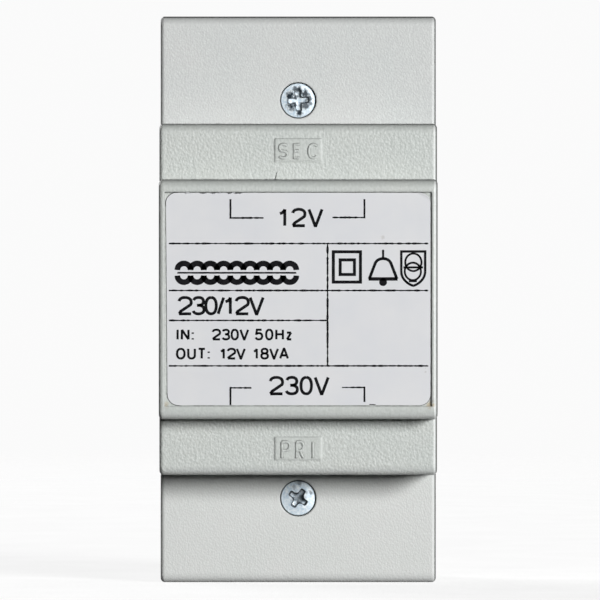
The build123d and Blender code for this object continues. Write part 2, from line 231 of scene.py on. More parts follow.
world = bpy.data.worlds.new("studioAir")
scene.world = world
world.use_nodes = True
sky = world.node_tree
shown = put(sky, "ShaderNodeBackground", {"Color": (1, 1, 1, 1), "Strength": studio["backdrop"]})
heading = put(sky, "ShaderNodeTexCoord").outputs["Generated"]
behind = split(sky, heading)["Y"]
air = ramp(sky, behind, 0.0, studio["airRise"], studio["airAhead"], studio["airBehind"])
felt = put(sky, "ShaderNodeBackground", {"Color": (1, 1, 1, 1), "Strength": air})
ray = put(sky, "ShaderNodeLightPath")
both = put(sky, "ShaderNodeMixShader", {
    0: ray.outputs["Is Camera Ray"], 1: felt.outputs[0], 2: shown.outputs[0],
})
sky.links.new(both.outputs[0], sky.nodes["World Output"].inputs["Surface"])

for name, (around, up, away, width, height, watts) in studio["lights"].items():
    lightData = bpy.data.lights.new(name, "AREA")
    lightData.shape = "RECTANGLE"
    lightData.size, lightData.size_y, lightData.energy = width, height, watts
    light = addObject(name, lightData)
    turn, rise = math.radians(around), math.radians(up)
    toward = Vector((math.sin(turn) * math.cos(rise), -math.cos(turn) * math.cos(rise), math.sin(rise)))
    light.location = toward * away
    light.rotation_euler = toward.to_track_quat("Z", "Y").to_euler()

# pale floor that fades out into the backdrop and is clear from below
floorLook = {
    "radius": 1.5, "gap": 0.02, "fadeFrom": 0.45, "fadeTo": 1.3, "mottleScale": 60.0,
    "colour": (0.90, 0.90, 0.90, 1), "otherColour": (0.93, 0.93, 0.93, 1),
    "glow": 0.85, "lit": 0.40, "roughness": 0.9,
}

shape = bmesh.new()
bmesh.ops.create_circle(shape, cap_ends=True, segments=96, radius=floorLook["radius"])
bmesh.ops.translate(shape, verts=shape.verts, vec=(0, 0, cadBox[0].z - floorLook["gap"] * mm))
floor = meshObject("studioFloor", shape)
floor.visible_shadow = floor.visible_diffuse = floor.visible_glossy = False  # it neither shades nor lights

floorMaterial, tree, shader = newMaterial("paleFloor")
spot = objectPlace(tree)
mottle = noise(tree, spot, floorLook["mottleScale"], 4.0)
paper = mixColour(tree, ramp(tree, mottle, 0.3, 0.7), floorLook["colour"], floorLook["otherColour"])
reach = put(tree, "ShaderNodeVectorMath", {0: spot}, operation="LENGTH").outputs["Value"]
fade = ramp(tree, reach, floorLook["fadeFrom"], floorLook["fadeTo"], 1.0, 0.0)
under = put(tree, "ShaderNodeNewGeometry").outputs["Backfacing"]
seen = put(tree, "ShaderNodeMath", {0: fade, 1: under}, operation="SUBTRACT", use_clamp=True)
dimmed = mixColour(tree, floorLook["lit"], (0, 0, 0, 1), paper)  # takes only a faint shadow
feed(tree, shader, {"Base Color": dimmed, "Roughness": floorLook["roughness"], "Specular IOR Level": 0.0})
glow = put(tree, "ShaderNodeEmission", {"Color": paper, "Strength": floorLook["glow"]})
lit = put(tree, "ShaderNodeAddShader", {0: shader.outputs[0], 1: glow.outputs[0]})
clear = put(tree, "ShaderNodeBsdfTransparent")
soft = put(tree, "ShaderNodeMixShader", {0: seen.outputs[0], 1: clear.outputs[0], 2: lit.outputs[0]})
tree.links.new(soft.outputs[0], tree.nodes["Material Output"].inputs["Surface"])
floor.data.materials.append(floorMaterial)
print("studio set")


# effects that several finishes share

def makeSparkGrain():
    # rounded pits and fine fuzz, as a spark-eroded mould leaves on plastic
    group, given, out = newGroup("sparkGrain", [
        ("Pit Scale", "NodeSocketFloat", 1500.0),
        ("Fuzz Scale", "NodeSocketFloat", 3200.0),
        ("Pit Share", "NodeSocketFloat", 0.5),
    ], [("Height", "NodeSocketFloat"), ("Speck", "NodeSocketFloat")])
    spot = objectPlace(group)
    place = put(group, "ShaderNodeMapping", {"Vector": spot, "Scale": (1.0, 1.0, 0.78)}).outputs["Vector"]
    pits = put(group, "ShaderNodeTexVoronoi", {
        "Vector": place, "Scale": given["Pit Scale"], "Smoothness": 0.5,
    }, feature="SMOOTH_F1").outputs["Distance"]
    fuzz = noise(group, place, given["Fuzz Scale"], 3.0, 0.6)
    height = put(group, "ShaderNodeMix", {0: given["Pit Share"], 2: fuzz, 3: pits}).outputs[0]
    speck = noise(group, place, given["Pit Scale"], 1.0)
    group.links.new(height, out["Height"])
    group.links.new(ramp(group, speck, 0.35, 0.68), out["Speck"])
    return group


def makeMouldTint():
    # slow drift between two shades, as flow and age leave in a moulding
    group, given, out = newGroup("mouldTint", [
        ("Shade", "NodeSocketColor", (0.6, 0.6, 0.6, 1)),
        ("Other Shade", "NodeSocketColor", (0.6, 0.6, 0.6, 1)),
        ("Patch Scale", "NodeSocketFloat", 90.0),
    ], [("Color", "NodeSocketColor")])
    place = objectPlace(group)
    patch = noise(group, place, given["Patch Scale"], 3.0, 0.55)
    tone = mixColour(group, ramp(group, patch, 0.32, 0.68), given["Shade"], given["Other Shade"])
    group.links.new(tone, out["Color"])
    return group


def makeEdgeMarks():
    # where corners hold dirt and painted shade, and where edges are rubbed
    group, given, out = newGroup("edgeMarks", [
        ("Corner Reach", "NodeSocketFloat", 0.0008),
        ("Edge Radius", "NodeSocketFloat", 0.0002),
    ], [("Corner Grime And Shade", "NodeSocketFloat"), ("Rub", "NodeSocketFloat"), ("Eased Normal", "NodeSocketVector")])
    opening = put(group, "ShaderNodeAmbientOcclusion", {"Distance": given["Corner Reach"]}, samples=6)
    place = objectPlace(group)
    patchy = noise(group, place, 700.0, 3.0)
    # occlusion darkens the corners: part grime, part painted shade
    shade = ramp(group, opening.outputs["AO"], 0.75, 0.25)
    corner = times(group, shade, ramp(group, patchy, 0.2, 0.6))
    eased = put(group, "ShaderNodeBevel", {"Radius": given["Edge Radius"]}, samples=6).outputs["Normal"]
    flat = put(group, "ShaderNodeNewGeometry").outputs["Normal"]
    bend = put(group, "ShaderNodeVectorMath", {0: eased, 1: flat}, operation="DOT_PRODUCT").outputs["Value"]
    worn = times(group, ramp(group, bend, 0.99, 0.85), ramp(group, patchy, 0.45, 0.7))
    group.links.new(corner, out["Corner Grime And Shade"])
    group.links.new(worn, out["Rub"])
    group.links.new(eased, out["Eased Normal"])
    return group


def makeSpotStain():
    # a soft uneven spot round one point
    group, given, out = newGroup("spotStain", [
        ("Centre", "NodeSocketVector", (0, 0, 0)),
        ("Reach", "NodeSocketFloat", 0.001),
    ], [("Mask", "NodeSocketFloat")])
    place = objectPlace(group)
    ragged = noise(group, place, 1800.0, 2.0)
    away = put(group, "ShaderNodeVectorMath", {0: place, 1: given["Centre"]}, operation="DISTANCE")
    share = put(group, "ShaderNodeMath", {0: away.outputs["Value"], 1: given["Reach"]}, operation="DIVIDE")
    rough = ramp(group, ragged, 0.3, 0.7, -0.35, 0.35)
    uneven = put(group, "ShaderNodeMath", {0: share.outputs[0], 1: rough}, operation="ADD")
    group.links.new(ramp(group, uneven.outputs[0], 1.0, 0.4), out["Mask"])
    return group


def makeFineScratches():
    # hair scratches in two directions, broken up by noise
    group, given, out = newGroup("fineScratches", [
        ("Scale", "NodeSocketFloat", 900.0),
        ("Amount", "NodeSocketFloat", 0.5),
    ], [("Mask", "NodeSocketFloat")])
    place = objectPlace(group)
    masks = []
    for turn, stretch in ((0.5, (1.0, 1.0, 0.05)), (-0.9, (0.07, 1.0, 1.0))):
        turned = put(group, "ShaderNodeMapping", {
            "Vector": place, "Rotation": (0.0, turn, 0.0), "Scale": stretch,
        }).outputs["Vector"]
        line = noise(group, turned, given["Scale"], 2.0)
        masks.append(ramp(group, line, 0.60, 0.68))
    either = put(group, "ShaderNodeMath", {0: masks[0], 1: masks[1]}, operation="MAXIMUM").outputs[0]
    group.links.new(times(group, either, given["Amount"]), out["Mask"])
    return group


sparkGrain = makeSparkGrain()
mouldTint = makeMouldTint()
edgeMarks = makeEdgeMarks()
spotStain = makeSpotStain()
fineScratches = makeFineScratches()
print("shared effects made")


# finishes

def tintDrift(tree, shade, otherShade, patchScale=90.0):
    return useGroup(tree, mouldTint, {
        "Shade": shade, "Other Shade": otherShade, "Patch Scale": patchScale,
    })["Color"]


def hairScratches(tree, look):
    return useGroup(tree, fineScratches, {"Scale": look["scratchScale"], "Amount": look["scratches"]})["Mask"]


def tintBy(tree, tone, mask, strength, shade):
    return mixColour(tree, ramp(tree, mask, 0, 1, 0, strength), tone, shade)


def addStains(tree, tone, stains, shade):
    # each stain is a centre, a reach and a strength
    for centre, reach, strength in stains:
        stain = useGroup(tree, spotStain, {"Centre": Vector(centre) * mm, "Reach": reach * mm})["Mask"]
        tone = tintBy(tree, tone, stain, strength, shade)
    return tone


# ranges of the surface's normal, from where an effect has no share to where it has all of it
turns = {
    "right": (0.12, 0.36), "notSide": (0.90, 0.62), "up": (0.08, 0.45), "down": (-0.08, -0.5),
    "ahead": (-0.04, -0.16), "away": (-1.0, 0.0), "notDown": (-0.3, -0.05), "top": (0.35, 0.85),
    "shadedWalls": (-0.85, -0.40),
}


def mouldedPlastic(name, look):
    # grained moulding with slow tint drift, dirt and painted shade held in corners, and pale rubbed edges
    material, tree, shader = newMaterial(name)
    grain = useGroup(tree, sparkGrain, {
        "Pit Scale": look["pitScale"], "Fuzz Scale": look["fuzzScale"], "Pit Share": look["pitShare"],
    })
    tone = tintDrift(tree, look["shade"], look["otherShade"])
    marks = useGroup(tree, edgeMarks, {
        "Corner Reach": look["cornerReach"], "Edge Radius": look["edgeRadius"] * mm,
    })
    place, turned = split(tree, objectPlace(tree)), surfaceTurn(tree)
    speck, depth, dull = look["speck"], 1.0, look["roughness"][0]
    if "polishedAhead" in look:  # the mould is polished in front of this depth, and grained behind it
        edge, blend = look["polishedAhead"] * mm, look["polishedBlend"] * mm
        depth = ramp(tree, place["Y"], edge - blend, edge + blend, look["polishedGrain"], 1.0)
        speck = times(tree, depth, look["speck"])
        dull = ramp(tree, depth, look["polishedGrain"], 1.0, look["polishedRoughness"], dull)
    tone = mixColour(tree, times(tree, grain["Speck"], speck), tone, look["speckShade"])
    tone = tintBy(tree, tone, marks["Rub"], look["rub"], look["rubShade"])
    # corners darkened with grime and painted shade
    tone = tintBy(tree, tone, marks["Corner Grime And Shade"], look["cornerGrimeAndShade"], look["grimeAndShadeTone"])
    tone = addStains(tree, tone, look["stains"], look["stainShade"])
    # edges that turn to the right get a painted highlight, and upper ones a little painted shade
    toRight = ramp(tree, turned["X"], *turns["right"], 0, look["paintedHighlight"])
    highlightMask = times(tree, toRight, ramp(tree, turned["X"], *turns["notSide"]))
    tone = mixColour(tree, highlightMask, tone, look["paintedLightTone"])
    tone = mixColour(tree, ramp(tree, turned["Z"], *turns["up"], 0, look["upwardShade"]), tone, look["rimShade"])
    # lower rolls are painted paler as bounce light, and a thin line of painted shade runs along the outermost
    # right and top edges
    ahead = ramp(tree, turned["Y"], *turns["ahead"])
    lower = times(tree, ahead, ramp(tree, turned["Z"], *turns["down"], 0, look["paintedBounce"]))
    tone = mixColour(tree, lower, tone, look["paintedLightTone"])
    far, near = (share * look["shadeLineWidth"] * mm for share in (1.0, look["shadeLineCore"]))
    for axis, outer, strength in (("X", cadBox[1].x, look["sideShadeLine"]), ("Z", cadBox[1].z, look["topShadeLine"])):
        line = ramp(tree, place[axis], outer - far, outer - near, 0, strength)
        tone = mixColour(tree, times(tree, ahead, line), tone, look["rimShade"])
    # painted shade on the eased edges round the front: it grows as they turn away, and spares those that face
    # down
    away = ramp(tree, turned["Y"], *turns["away"])
    rim = put(tree, "ShaderNodeMath", {0: away, 1: look["rimFall"]}, operation="POWER").outputs[0]
    for limit in (
        ramp(tree, turned["Z"], *turns["notDown"], 0, look["rim"]),
        ramp(tree, turned["Z"], *turns["top"], 1.0, look["topEdgeShade"]),
        ahead,
    ):
        rim = times(tree, rim, limit)
    tone = mixColour(tree, rim, tone, look["rimShade"])
    feed(tree, shader, {
        "Base Color": tone,
        "Roughness": ramp(tree, grain["Speck"], 0, 1, dull, look["roughness"][1]),
        "Normal": bump(tree, grain["Height"], look["grainDepth"], depth, marks["Eased Normal"]),
        "IOR": 1.5,
        "Specular IOR Level": 0.5,
    })
    return material


greyMoulding = {
    "shade": (0.530, 0.563, 0.538, 1), "otherShade": (0.554, 0.578, 0.550, 1),
    "speck": 0.50, "speckShade": (0.70, 0.73, 0.71, 1),
    "rub": 0.25, "rubShade": (0.72, 0.74, 0.73, 1), "edgeRadius": 0.5,
    # corner darkening: grime and painted shade
    "cornerGrimeAndShade": 0.74, "grimeAndShadeTone": (0.09, 0.09, 0.085, 1), "cornerReach": 0.7 * mm,
    # near-black painted shade on eased edges and on upward faces
    "rim": 1.0, "rimFall": 2.1, "topEdgeShade": 1.9, "rimShade": (0.04, 0.042, 0.04, 1), "upwardShade": 0.11,
    # painted shade lines along the outer right and top edges, and painted bounce light on lower rolls
    "sideShadeLine": 0.75, "topShadeLine": 0.97, "shadeLineWidth": 0.38, "shadeLineCore": 0.4, "paintedBounce": 0.28,
    # painted highlight on edges turned to the right
    "paintedHighlight": 0.55, "paintedLightTone": (0.93, 0.95, 0.94, 1),
    "pitScale": 2300.0, "fuzzScale": 4200.0, "pitShare": 0.55, "grainDepth": 0.13,
    "roughness": (0.52, 0.44), "stains": [], "stainShade": (0.46, 0.39, 0.27, 1),
}
caseLook = dict(
    greyMoulding,
    polishedAhead=-50.6, polishedBlend=0.03, polishedGrain=0.60, polishedRoughness=0.38,
    stains=[((24.9, -57.5, -19.8), 1.0, 0.85), ((-24.8, -57.5, -19.8), 0.8, 0.45)],
)
# the letters take the painted edge shade over more of their flanks, and no painted highlight
legendLook = dict(caseLook, paintedHighlight=0.0, rimFall=1.1)
coverLook = dict(
    greyMoulding,
    shade=(0.590, 0.609, 0.602, 1), otherShade=(0.616, 0.624, 0.616, 1), paintedHighlight=0.2,
    speck=0.42, pitScale=2900.0, fuzzScale=5000.0, grainDepth=0.07, roughness=(0.56, 0.48),
)
# the lower cover is painted paler, standing in for bounce light from below
paintedBounceCoverLook = dict(coverLook, shade=(0.650, 0.667, 0.648, 1), otherShade=(0.676, 0.684, 0.670, 1))
clipLook = dict(
    greyMoulding,
    shade=(0.30, 0.32, 0.32, 1), otherShade=(0.33, 0.34, 0.34, 1),
    speck=0.10, speckShade=(0.40, 0.42, 0.42, 1), rubShade=(0.48, 0.50, 0.50, 1),
    grimeAndShadeTone=(0.10, 0.10, 0.10, 1), grainDepth=0.012, roughness=(0.5, 0.4), paintedHighlight=0.0,
)
bobbinLook = dict(
    greyMoulding,
    shade=(0.80, 0.78, 0.70, 1), otherShade=(0.76, 0.74, 0.66, 1),
    speck=0.08, speckShade=(0.86, 0.85, 0.80, 1), grainDepth=0.008, roughness=(0.45, 0.35), paintedHighlight=0.0,
)
cutoutLook = dict(
    greyMoulding,
    shade=(0.03, 0.03, 0.03, 1), otherShade=(0.045, 0.045, 0.045, 1),
    speck=0.10, speckShade=(0.09, 0.09, 0.09, 1), rubShade=(0.15, 0.15, 0.15, 1),
    grainDepth=0.010, roughness=(0.5, 0.4), paintedHighlight=0.0,
)


filmLook = {
    "shade": (0.705, 0.717, 0.742, 1), "otherShade": (0.740, 0.745, 0.758, 1), "patchScale": 120.0,
    "grime": (0.42, 0.40, 0.36, 1), "roughness": (0.42, 0.30), "rippleScale": 260.0, "rippleDepth": 0.006,
    "scratchScale": 700.0, "scratches": 0.5,
    "specks": [
        ((23.85, -57.7, -13.6), 0.22, 0.35), ((23.9, -57.7, -12.9), 0.14, 0.35),
        ((15.9, -57.7, 11.7), 0.5, 0.35),
    ],
}


def labelFilm(look):
    # satin printed film, faintly rippled over the recess, a few smudges
    material, tree, shader = newMaterial("labelFilm")
    tone = tintDrift(tree, look["shade"], look["otherShade"], look["patchScale"])
    ripple = noise(tree, objectPlace(tree), look["rippleScale"], 3.0)
    feed(tree, shader, {
        "Base Color": addStains(tree, tone, look["specks"], look["grime"]),
        "Roughness": ramp(tree, hairScratches(tree, look), 0, 1, *look["roughness"]),
        "Normal": bump(tree, ripple, look["rippleDepth"]),
        "Specular IOR Level": 0.4,
    })
    return material


inkLook = {
    "dark": (0.004, 0.004, 0.005, 1), "thin": (0.014, 0.014, 0.016, 1), "patchScale": 1500.0,
    "scratchScale": 1200.0, "scratches": 0.6, "roughness": (0.7, 0.85),
}


def printInk(look):
    # black print that thins out in places
    material, tree, shader = newMaterial("printInk")
    feed(tree, shader, {
        "Base Color": tintDrift(tree, look["dark"], look["thin"], look["patchScale"]),
        "Roughness": ramp(tree, hairScratches(tree, look), 0, 1, *look["roughness"]),
        "Specular IOR Level": 0.06,
    })
    return material


def platedMetal(name, look):
    # plated or rolled metal: cloudy tint, hair scratches, grime and painted shade in its corners
    material, tree, shader = newMaterial(name)
    tone = tintDrift(tree, look["shade"], look["otherShade"], look["patchScale"])
    marks = useGroup(tree, edgeMarks, {"Corner Reach": look["cornerReach"]})
    scratch = hairScratches(tree, look)
    # corners darkened with grime and painted shade
    tone = tintBy(tree, tone, marks["Corner Grime And Shade"], look["cornerGrimeAndShade"], look["grimeAndShadeTone"])
    tone = tintBy(tree, tone, marks["Rub"], look["rub"], look["rubShade"])
    tone = addStains(tree, tone, look["stains"], look["grimeAndShadeTone"])
    # painted shade on what turns away from the front, such as a recess's walls
    shadedWalls = ramp(tree, surfaceTurn(tree)["Y"], *turns["shadedWalls"], 0, look["shadedWalls"])
    tone = mixColour(tree, shadedWalls, tone, look["grimeAndShadeTone"])
    dents = noise(tree, objectPlace(tree), look["dentScale"], 3.0)
    uneven = bump(tree, dents, look["dentDepth"])
    feed(tree, shader, {
        "Base Color": tone,
        "Metallic": look["metallic"],
        "Roughness": ramp(tree, scratch, 0, 1, *look["roughness"]),
        "Normal": bump(tree, scratch, look["scratchDepth"], under=uneven, invert=True),
    })
    return material


zincLook = {
    "shade": (0.55, 0.68, 0.79, 1), "otherShade": (0.88, 0.94, 0.97, 1), "patchScale": 2000.0,
    # painted shade on a recess's walls
    "metallic": 0.2, "roughness": (0.48, 0.60), "shadedWalls": 0.92,
    # corner darkening: grime and painted shade
    "cornerReach": 0.5 * mm, "cornerGrimeAndShade": 0.6, "grimeAndShadeTone": (0.014, 0.026, 0.038, 1),
    "rub": 0.5, "rubShade": (0.90, 0.92, 0.94, 1), "dentScale": 1300.0, "dentDepth": 0.05,
    "scratchScale": 1500.0, "scratches": 0.8, "scratchDepth": 0.006,
    "stains": [
        # worn places round the upper screw's recess
        ((0.3, -35.7, 39.6), 0.95, 1.0), ((1.2, -35.7, 39.0), 1.05, 1.0), ((2.0, -35.6, 38.35), 0.80, 0.95),
        ((-1.55, -35.65, 38.65), 1.0, 1.0), ((-1.35, -35.65, 36.7), 1.0, 1.0),
        ((-0.55, -35.4, 37.0), 0.75, 1.0), ((1.35, -35.65, 37.0), 1.1, 0.9),
        ((2.1, -35.55, 37.4), 0.80, 0.75), ((0.25, -35.6, 35.5), 0.75, 1.0),
        ((-0.6, -35.6, 40.1), 0.60, 0.8), ((-0.4, -35.2, 38.4), 0.60, 0.9),
        # grime down in the lower recess, a painted shadow of the counterbore on that head's upper edge, and
        # blotches on that head
        ((0.0, -34.8, -37.8), 1.70, 0.75), ((0.2, -35.3, -34.9), 0.90, 0.60),
        ((-0.8, -35.5, -35.7), 0.60, 0.35), ((2.35, -35.4, -36.8), 0.55, 0.65),
        ((1.55, -35.6, -36.9), 0.50, 0.50),
    ],
}
springLook = dict(
    zincLook, shade=(0.33, 0.34, 0.37, 1), otherShade=(0.42, 0.41, 0.41, 1), roughness=(0.32, 0.45), cornerGrimeAndShade=0.3,
    metallic=1.0, shadedWalls=0.0, stains=[],
)
brassLook = dict(
    zincLook, shade=(0.74, 0.56, 0.25, 1), otherShade=(0.68, 0.49, 0.22, 1), grimeAndShadeTone=(0.20, 0.12, 0.05, 1),
    rubShade=(0.86, 0.72, 0.42, 1), roughness=(0.30, 0.42), cornerGrimeAndShade=0.4, metallic=1.0, shadedWalls=0.0, stains=[],
)


coreLook = {
    "pitch": 0.5 * mm, "gapShare": 0.12, "gapDepth": 0.04, "patchScale": 160.0, "metallic": 0.7,
    "steel": (0.17, 0.17, 0.18, 1), "varnish": (0.09, 0.065, 0.045, 1), "gapShade": (0.03, 0.025, 0.02, 1),
    "roughness": (0.45, 0.7),
}


def coreStampings(look):
    # varnished stampings, one dark line between each pair
    material, tree, shader = newMaterial("coreStampings")
    depth = split(tree, objectPlace(tree))["Y"]
    sheet = put(tree, "ShaderNodeMath", {0: depth, 1: look["pitch"]}, operation="PINGPONG").outputs[0]
    gap = ramp(tree, sheet, 0.0, look["gapShare"] * look["pitch"], 1.0, 0.0)
    stain = tintDrift(tree, look["steel"], look["varnish"], look["patchScale"])
    feed(tree, shader, {
        "Base Color": mixColour(tree, gap, stain, look["gapShade"]),
        "Metallic": look["metallic"],
        "Roughness": ramp(tree, gap, 0, 1, *look["roughness"]),
        "Normal": bump(tree, gap, look["gapDepth"], invert=True),
    })
    return material


tapeLook = {
    "wire": 0.45 * mm, "turnDepth": 0.05, "tape": (0.78, 0.56, 0.10, 1), "copper": (0.62, 0.34, 0.09, 1),
    "scratchScale": 500.0, "scratches": 0.5, "roughness": (0.25, 0.4),
}


def windingTape(look):
    # clear yellow tape drawn tight over turns of wire
    material, tree, shader = newMaterial("windingTape")
    along = split(tree, objectPlace(tree))["Z"]
    wires = put(tree, "ShaderNodeMath", {0: along, 1: look["wire"]}, operation="PINGPONG").outputs[0]
    wires = ramp(tree, wires, 0.0, look["wire"])
    feed(tree, shader, {
        "Base Color": mixColour(tree, wires, look["copper"], look["tape"]),
        "Roughness": ramp(tree, hairScratches(tree, look), 0, 1, *look["roughness"]),
        "Normal": bump(tree, wires, look["turnDepth"]),
    })
    return material


sleeveLook = {
    "shade": (0.60, 0.03, 0.03, 1), "otherShade": (0.48, 0.02, 0.02, 1), "patchScale": 300.0,
    "scratchScale": 1200.0, "scratches": 0.6, "lineDepth": 0.01, "roughness": (0.4, 0.55),
}


def leadSleeve(look):
    # soft extruded sleeve with faint draw lines
    material, tree, shader = newMaterial("leadSleeve")
    drawn = hairScratches(tree, look)
    feed(tree, shader, {
        "Base Color": tintDrift(tree, look["shade"], look["otherShade"], look["patchScale"]),
        "Roughness": ramp(tree, drawn, 0, 1, *look["roughness"]),
        "Normal": bump(tree, drawn, look["lineDepth"]),
    })
    return material


casePlastic = mouldedPlastic("casePlastic", caseLook)
legendPlastic = mouldedPlastic("legendPlastic", legendLook)
paintedBounceCoverPlastic = mouldedPlastic("paintedBounceCoverPlastic", paintedBounceCoverLook)
zincPlate = platedMetal("zincPlate", zincLook)
springSteel = platedMetal("springSteel", springLook)
film = labelFilm(filmLook)
ink = printInk(inkLook)
finishes = {
    "case_plastic": casePlastic,
    "cover_plastic": mouldedPlastic("coverPlastic", coverLook),
    "base_plastic": mouldedPlastic("basePlastic", greyMoulding),
    "clip_plastic": mouldedPlastic("clipPlastic", clipLook),
    "label_film": film,
    "zinc_steel": zincPlate,
    "spring_steel": springSteel,
    "core_steel": coreStampings(coreLook),
    "bobbin_plastic": mouldedPlastic("bobbinNylon", bobbinLook),
    "winding_tape": windingTape(tapeLook),
    "cutout_plastic": mouldedPlastic("cutoutPlastic", cutoutLook),
    "terminal_brass": platedMetal("terminalBrass", brassLook),
    "lead_insulation": leadSleeve(sleeveLook),
}
for part in frame["record"]["subparts"]:
    for slot in cadNodes[part["node"]].material_slots:
        slot.material = finishes[part["material_slot"]]
# the lower cover's paler copy stands in for bounce light from below
for slot in cadNodes["primary_terminal_cover"].material_slots:
    slot.material = paintedBounceCoverPlastic  # a shade paler than the other cover
print("finishes made:", len(finishes))


# label: a thin film, not quite square in its recess, ragged along the top and creased at one corner
labelSheet = {
    "corner": 2.0, "thickness": 0.18, "columns": 150, "rows": 34, "arcRows": 9,
    "leftSlant": 0.30, "topGrow": 0.12, "raggedFrom": -23.0, "raggedTo": -10.5, "raggedDepth": 0.16,
    "crease": ((23.2, 19.55), (24.33, 18.99)), "curl": 0.085, "curlSlope": 0.35, "seed": 4,
}


def makeLabel(look):
    low, high = (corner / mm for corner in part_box("rating_label"))
    high.z += look["topGrow"]  # it is cut a little tall, and nearly fills the recess at the top
    radius = look["corner"]
    rows = []  # height and how far the corner arc draws the row in
    arc = [k / look["arcRows"] * math.pi / 2 for k in range(look["arcRows"])]
    rows += [(low.z + radius * (1 - math.cos(t)), radius * (1 - math.sin(t))) for t in arc]
    straight = high.z - low.z - 2 * radius
    rows += [(low.z + radius + straight * k / look["rows"], 0.0) for k in range(look["rows"] + 1)]
    rows += [(high.z - radius * (1 - math.cos(t)), radius * (1 - math.sin(t))) for t in reversed(arc)]
    rng = random.Random(look["seed"])
    rag = [rng.random() for _ in range(look["columns"] + 1)]
    (ax, az), (bx, bz) = look["crease"]
    across = Vector((az - bz, bx - ax)).normalized()  # square to the crease, out to the corner
    sheet = bmesh.new()
    grid = []
    for index, (z, inset) in enumerate(rows):
        left = low.x + inset + look["leftSlant"] * (high.z - z) / (high.z - low.z)
        right = high.x - inset
        line = []
        for column in range(look["columns"] + 1):
            x = left + (right - left) * column / look["columns"]
            lifted = max(0.0, (Vector((x, z)) - Vector((ax, az))).dot(across))
            y = low.y - min(look["curl"], look["curlSlope"] * lifted)
            drop = 0.0
            if index == len(rows) - 1 and look["raggedFrom"] < x < look["raggedTo"]:
                drop = look["raggedDepth"] * rag[column] ** 2
            line.append(sheet.verts.new(Vector((x, y, z - drop)) * mm))
        grid.append(line)
    for lower, upper in zip(grid, grid[1:]):
        for a, b, c, d in zip(lower, lower[1:], upper[1:], upper):
            sheet.faces.new((a, b, c, d))
    obj = meshObject("label", sheet)
    obj.modifiers.new("thickness", "SOLIDIFY").thickness = look["thickness"] * mm
    piece = settle("label_sheet", obj, film)
    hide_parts("rating_label")


makeLabel(labelSheet)
print("label made")


# print on the label: rules, brackets, plain voltages and general symbols
labelPrint = {
    "line": 0.32, "post": 0.35, "bold": 0.58, "height": 0.012, "seed": 11,
    "ruleLeft": -24.25, "ruleRight": 24.4, "divider": 5.51,
    "rules": (10.46, 1.65, -3.96, -12.48),
    # brackets: post, its far end, the bend, and where the foot stops
    "brackets": [
        (-12.70, 18.78, 15.26, -6.48), (12.42, 18.78, 15.34, 6.40),
        (-12.70, -19.84, -16.60, -8.76), (12.42, -19.25, -16.52, 8.22),
    ],
    "strayDash": ((13.35, -19.72), (14.5, -19.76), 0.16),
    # words: (text, left, right, low, high, stroke)
    "words": [
        ("12V", -3.72, 4.75, 13.52, 17.15, 0.56),
        ("230V", -5.52, 5.92, -18.0, -14.36, 0.56),
        ("230/12V", -22.64, -6.29, -3.0, 0.62, 0.56),
        ("IN:", -22.82, -19.56, -7.72, -5.50, 0.42),
        ("230V", -16.22, -9.18, -7.72, -5.50, 0.42),
        ("50Hz", -8.19, -1.08, -7.72, -5.50, 0.42),
        ("OUT:", -22.92, -16.57, -11.30, -9.08, 0.42),
        ("12V", -14.72, -9.82, -11.30, -9.08, 0.42),
        ("18VA", -8.52, -1.72, -11.30, -9.08, 0.42),
    ],
    "doubleSquare": ((6.30, 2.94, 11.96, 9.20), (7.58, 4.36, 10.84, 7.68)),
    "bell": {
        "x": 15.92, "top": 9.3, "crown": 7.64, "shoulder": 6.35, "shoulderHalf": 1.56, "stem": 0.40,
        "mouth": 3.82, "mouthHalf": 2.60, "clapper": 0.74, "clapperZ": 3.22, "side": 0.55, "lip": 0.66,
        "lipOver": 0.12,
    },
    "shield": {
        "left": 19.33, "right": 23.81, "top": 8.97, "bend": 5.3, "tip": 2.55, "side": 0.46, "thin": 0.38,
        "ring": 1.52, "ringTall": 1.08, "rings": ((21.6, 6.94), (21.5, 5.23)),
        "bars": ((19.75, 23.4, 5.98), (20.75, 22.25, 3.4)), "sideFall": (2.2, 0.75), "sideSteps": 14,
    },
    "coilSign": {"middle": 4.97, "centre": -11.5, "radius": 1.24, "humps": 9, "lift": 0.52, "stroke": 1.06},
}


inkEdge = {"spread": (0.55, 1.3), "step": 0.4, "mitre": 0.35, "ovalPower": 0.88}


def arcPoints(centre, radius, start, end, steps=24, squash=1.0):
    x, z = centre
    angles = [math.radians(start + (end - start) * k / steps) for k in range(steps + 1)]
    return [Vector((x + radius * math.cos(a), z + squash * radius * math.sin(a))) for a in angles]


def ovalPoints(box, start, end, steps=26):
    # part of a slightly squared oval that fills a box of left, low, right and high
    left, low, right, high = box
    power = inkEdge["ovalPower"]
    points = []
    for k in range(steps + 1):
        turn = math.radians(start + (end - start) * k / steps)
        u, v = (math.copysign(abs(w) ** power, w) for w in (math.cos(turn), math.sin(turn)))
        x, z = (left + right) / 2 + u * (right - left) / 2, (low + high) / 2 + v * (high - low) / 2
        points.append(Vector((x, z)))
    return points


